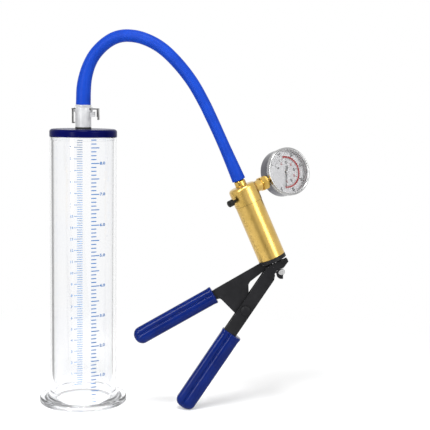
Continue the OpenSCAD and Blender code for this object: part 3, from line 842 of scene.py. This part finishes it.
# %% Rings of the gauge
window_seal = spun([(18.42, 7.12), (18.62, 7.12), (18.62, 7.36), (18.42, 7.28)], on_dial)
piece_from(window_seal, "window_seal", dial_paint, None, "pump")
dial_surround = spun([(18.15, 2.3), (18.5, 2.3), (18.5, 5.95), (18.15, 5.95)], on_dial)
piece_from(dial_surround, "dial_surround", dial_paint, None, "pump")
# Painted shade: a dark rubber ring stands in for the shadow in the groove between case and bezel.
case_seam_shade = spun([(19.0, 3.1), (20.12, 3.1), (20.12, 3.45), (19.0, 3.45)], on_dial)
piece_from(case_seam_shade, "case_seam_shade", seal_rubber, "black_rubber", "pump")

# %% [markdown]
# A dark hairline shows where the turned head is screwed onto the barrel. It is painted shade:
# a thin ring of dark brass set into the seam stands in for the shadow in the joint.

# %% Seam of the head
BARREL_R, SEAM_UP = 11.5, 49.0
SEAM_IN, SEAM_OUT, SEAM_HALF = 0.5, 0.04, 0.25
low, high = SEAM_UP - SEAM_HALF, SEAM_UP + SEAM_HALF
seam = spun([(BARREL_R - SEAM_IN, low), (BARREL_R + SEAM_OUT, low),
             (BARREL_R + SEAM_OUT, high), (BARREL_R - SEAM_IN, high)], at_pump)
piece_from(seam, "head_seam_shade", painted_seam_shade, "brass", "pump")

# %% [markdown]
# The print is flat, like the scales. Angles run clockwise from twelve o'clock, as on a watch,
# and both figure rings start at ZERO. The red arc marks the upper part of the range.

# %% Print on the dial
def stamp_tick(shape, angle, inner, outer, wide):
    """A tick between two radii at a clock angle."""
    middle = Matrix.Translation(clock(angle, (inner + outer) / 2))
    along = Matrix.Rotation(math.radians(-angle), 4, "Z")
    size = Matrix.Diagonal((wide * MM, (outer - inner) * MM, INK, 1))
    bmesh.ops.create_cube(shape, size=1, matrix=middle @ along @ size)


def stamp_arc(shape, inner, outer, begin, finish):
    """A band between two radii, from one clock angle to another."""
    half = INK / 2 / MM
    corners = [clock(begin, radius, DIAL_FACE + lift) for radius, lift in
               ((inner, -half), (outer, -half), (outer, half), (inner, half))]
    points = [shape.verts.new(corner) for corner in corners]
    face = shape.faces.new(points)
    bmesh.ops.spin(shape, geom=points + face.edges[:] + [face], cent=(0, 0, 0), axis=(0, 0, 1),
                   dvec=(0, 0, 0), angle=math.radians(begin - finish),
                   steps=max(2, int(abs(finish - begin) / 4)))


def onto_dial(shape, name, made):
    """Takes flat print to the dial and makes it a piece."""
    bmesh.ops.remove_doubles(shape, verts=shape.verts, dist=0.0000002)
    bmesh.ops.recalc_face_normals(shape, faces=shape.faces)
    bmesh.ops.transform(shape, matrix=on_dial, verts=shape.verts)
    return piece_from(shape, name, made, None, "pump")


ZERO = 225
black_print = bmesh.new()
for count in range(31):
    angle = ZERO + count * 9
    labelled = count % 5 == 0
    stamp_tick(black_print, angle, 13.7, 14.7 if labelled else 14.2, 0.5 if labelled else 0.3)
    if labelled:
        stamp_number(black_print, str(count), 2.1, Matrix.Translation(clock(angle, 16.0)))
for count in range(15):
    angle = ZERO + count * 17.75
    labelled = count % 2 == 0
    stamp_tick(black_print, angle, 9.9 if labelled else 10.5, 11.5, 0.42 if labelled else 0.3)
    if labelled and count % 4 == 0:
        stamp_number(black_print, str(count * 5), 1.8, Matrix.Translation(clock(angle, 8.3)))
stamp_arc(black_print, 11.5, 11.65, ZERO, ZERO + 270)
onto_dial(black_print, "dial_figures", dial_ink)

red_print = bmesh.new()
stamp_arc(red_print, 12.05, 13.65, 280, 435)
for count in range(1, 8, 2):
    spot = Matrix.Translation(clock(ZERO + count * 35.5, 8.3))
    stamp_number(red_print, str(count * 10), 1.6, spot)
onto_dial(red_print, "dial_red", red_ink)

pale_print = bmesh.new()
stamp_arc(pale_print, 12.1, 13.55, 435, 480)
onto_dial(pale_print, "dial_pale_red", pale_red_ink)

# %% [markdown]
# ## Floor, background and light
#
# The floor is a plain white sheet that keeps the object's soft shadow. To the camera, to mirrors
# and to clear pieces it is a little brighter than its paint alone, and further out it fades
# into pure white, so it meets the white background without a horizon. For the rays that
# only carry light it is plain paint everywhere.

# %% Floor
floor_mesh = bpy.data.meshes.new("floor")
shape = bmesh.new()
bmesh.ops.create_grid(shape, x_segments=1, y_segments=1, size=6)
bmesh.ops.translate(shape, verts=shape.verts, vec=(0, 2, -0.0003))
shape.to_mesh(floor_mesh)
shape.free()
floor = bpy.data.objects.new("floor", floor_mesh)
bpy.context.collection.objects.link(floor)


# %% Rays that show the background
def background_rays(tree):
    """1 for camera, mirror and see-through rays, 0 for rays that only carry light."""
    rays = tree.nodes.new("ShaderNodeLightPath")
    either = tree.nodes.new("ShaderNodeMath")
    either.operation = "MAXIMUM"
    any_of = tree.nodes.new("ShaderNodeMath")
    any_of.operation = "MAXIMUM"
    tree.links.new(rays.outputs["Is Camera Ray"], either.inputs[0])
    tree.links.new(rays.outputs["Is Glossy Ray"], either.inputs[1])
    tree.links.new(either.outputs[0], any_of.inputs[0])
    tree.links.new(rays.outputs["Is Transmission Ray"], any_of.inputs[1])
    return any_of.outputs[0]


# %% White sheet
SHEET_GLOW = 0.22
FADE_FROM, FADE_TO = 0.16, 0.42
SHEET_WHITE = 0.8
FADE_CENTRE = (-0.1, 0.0, 0)
floor_paint = bpy.data.materials.new("white_sheet")
floor_paint.use_nodes = True
tree = floor_paint.node_tree
tree.nodes.clear()
seen = background_rays(tree)
paint = tree.nodes.new("ShaderNodeBsdfDiffuse")
paint.inputs["Color"].default_value = grey(SHEET_WHITE)
glow = tree.nodes.new("ShaderNodeEmission")
level = tree.nodes.new("ShaderNodeMath")
level.operation = "MULTIPLY"
level.inputs[1].default_value = SHEET_GLOW
add = tree.nodes.new("ShaderNodeAddShader")
tree.links.new(seen, level.inputs[0])
tree.links.new(level.outputs[0], glow.inputs["Strength"])
tree.links.new(paint.outputs[0], add.inputs[0])
tree.links.new(glow.outputs[0], add.inputs[1])

spot = tree.nodes.new("ShaderNodeTexCoord")
shift = tree.nodes.new("ShaderNodeVectorMath")
shift.inputs[1].default_value = FADE_CENTRE
reach = tree.nodes.new("ShaderNodeVectorMath")
reach.operation = "LENGTH"
fade = tree.nodes.new("ShaderNodeMapRange")
fade.interpolation_type = "SMOOTHSTEP"
fade.inputs["From Min"].default_value = FADE_FROM
fade.inputs["From Max"].default_value = FADE_TO
share = tree.nodes.new("ShaderNodeMath")
share.operation = "MULTIPLY"
white = tree.nodes.new("ShaderNodeEmission")
blend = tree.nodes.new("ShaderNodeMixShader")
sheet_out = tree.nodes.new("ShaderNodeOutputMaterial")
tree.links.new(spot.outputs["Object"], shift.inputs[0])
tree.links.new(shift.outputs["Vector"], reach.inputs[0])
tree.links.new(reach.outputs["Value"], fade.inputs["Value"])
tree.links.new(fade.outputs["Result"], share.inputs[0])
tree.links.new(seen, share.inputs[1])
tree.links.new(share.outputs[0], blend.inputs["Fac"])
tree.links.new(add.outputs[0], blend.inputs[1])
tree.links.new(white.outputs[0], blend.inputs[2])
tree.links.new(blend.outputs[0], sheet_out.inputs["Surface"])
floor_mesh.materials.append(floor_paint)

# %% World
SKY_LIGHT, SKY_SEEN = 0.5, 1.0
world = bpy.data.worlds.new("studio")
bpy.context.scene.world = world
world.use_nodes = True
tree = world.node_tree
tree.nodes.clear()
soft = tree.nodes.new("ShaderNodeBackground")
soft.inputs["Color"].default_value = (1, 1, 1, 1)
soft.inputs["Strength"].default_value = SKY_LIGHT
white = tree.nodes.new("ShaderNodeBackground")
white.inputs["Strength"].default_value = SKY_SEEN
white.inputs["Color"].default_value = (1, 1, 1, 1)
choose = tree.nodes.new("ShaderNodeMixShader")
sky_out = tree.nodes.new("ShaderNodeOutputWorld")
tree.links.new(background_rays(tree), choose.inputs["Fac"])
tree.links.new(soft.outputs[0], choose.inputs[1])
tree.links.new(white.outputs[0], choose.inputs[2])
tree.links.new(choose.outputs[0], sky_out.inputs["Surface"])


# %% Lamps
def lamp(name, spot, aim, size, power):
    """A flat lamp at spot, facing aim; clear pieces mirror it but don't bend it into specks."""
    data = bpy.data.lights.new(name, "AREA")
    data.shape = "RECTANGLE"
    data.size, data.size_y = size
    data.energy = power
    made = bpy.data.objects.new(name, data)
    made.visible_transmission = False
    bpy.context.collection.objects.link(made)
    back = Vector(spot) - Vector(aim)
    made.rotation_euler = back.to_track_quat("Z", "Y").to_euler()
    made.location = spot
    return made


LAMP_AIM = (0.09, 0, 0.15)
lamp("key_lamp", (0.95, -0.85, 0.62), LAMP_AIM, (0.45, 0.9), 7)
lamp("strip_lamp", (-0.55, -0.94, 0.5), LAMP_AIM, (0.22, 1.0), 9)
lamp("top_lamp", (0.05, -0.45, 1.2), LAMP_AIM, (0.35, 0.3), 7)

# %% [markdown]
# Polished metal and wet vinyl look flat when everything around them is white. A grey card
# lies just above the floor in front of the object, so that rounded surfaces show a darker band
# between their highlights. It shows in mirrors only: the camera, the light and the shadows
# don't know about it.

# %% Grey card
CARD_GREY = 0.3
CARD_PLACE = Matrix.Translation((-0.02, -0.85, 0.003)) @ Matrix.Diagonal((0.46, 1.0, 1, 1))
card_mesh = bpy.data.meshes.new("grey_card")
shape = bmesh.new()
bmesh.ops.create_grid(shape, x_segments=1, y_segments=1, size=0.5)
bmesh.ops.transform(shape, verts=shape.verts, matrix=CARD_PLACE)
shape.to_mesh(card_mesh)
shape.free()
card_grey = bpy.data.materials.new("card_grey")
card_grey.use_nodes = True
tree = card_grey.node_tree
tree.nodes.clear()
dull = tree.nodes.new("ShaderNodeEmission")
dull.inputs["Color"].default_value = grey(CARD_GREY)
tree.links.new(dull.outputs["Emission"],
               tree.nodes.new("ShaderNodeOutputMaterial").inputs["Surface"])
card_mesh.materials.append(card_grey)
card = bpy.data.objects.new("grey_card", card_mesh)
bpy.context.collection.objects.link(card)
card.visible_camera = card.visible_diffuse = card.visible_shadow = False
card.visible_transmission = card.visible_volume_scatter = False

# %% [markdown]
# Clear pieces vanish on a white ground. Dark boards to the left, to the right and above give
# them thin dark outlines. A board answers only to rays that have crossed a clear surface
# fewer than THIN_CROSSINGS times, as happens in the outermost wall of the tube. Rays that
# pass through the whole tube go on to the white background.

# %% Dark boards
BOARD_GREY = 0.3
THIN_CROSSINGS = 3
BOARDS = [((-0.08, -0.03, 0.18), 90, (0.36, 0.2)), ((0.08, -0.03, 0.18), 90, (0.36, 0.2)),
          ((0.0, -0.3, 0.75), 0, (0.8, 0.6))]
boards_mesh = bpy.data.meshes.new("dark_boards")
shape = bmesh.new()
for place, tilt, (wide, deep) in BOARDS:
    bmesh.ops.create_grid(shape, x_segments=1, y_segments=1, size=0.5,
                          matrix=Matrix.Translation(place)
                          @ Matrix.Rotation(math.radians(tilt), 4, "Y")
                          @ Matrix.Diagonal((wide, deep, 1, 1)))
shape.to_mesh(boards_mesh)
shape.free()
board_grey = bpy.data.materials.new("board_grey")
board_grey.use_nodes = True
tree = board_grey.node_tree
tree.nodes.clear()
dark = tree.nodes.new("ShaderNodeEmission")
dark.inputs["Color"].default_value = grey(BOARD_GREY)
rays = tree.nodes.new("ShaderNodeLightPath")
thin = tree.nodes.new("ShaderNodeMath")
thin.operation = "LESS_THAN"
thin.inputs[1].default_value = THIN_CROSSINGS
past = tree.nodes.new("ShaderNodeBsdfTransparent")
board = tree.nodes.new("ShaderNodeMixShader")
tree.links.new(rays.outputs["Transmission Depth"], thin.inputs[0])
tree.links.new(thin.outputs[0], board.inputs["Fac"])
tree.links.new(past.outputs[0], board.inputs[1])
tree.links.new(dark.outputs[0], board.inputs[2])
tree.links.new(board.outputs[0], tree.nodes.new("ShaderNodeOutputMaterial").inputs["Surface"])
boards_mesh.materials.append(board_grey)
boards = bpy.data.objects.new("dark_boards", boards_mesh)
bpy.context.collection.objects.link(boards)
boards.visible_camera = boards.visible_diffuse = boards.visible_shadow = False
boards.visible_glossy = boards.visible_volume_scatter = False

scene = bpy.context.scene
scene.view_settings.view_transform = "Standard"
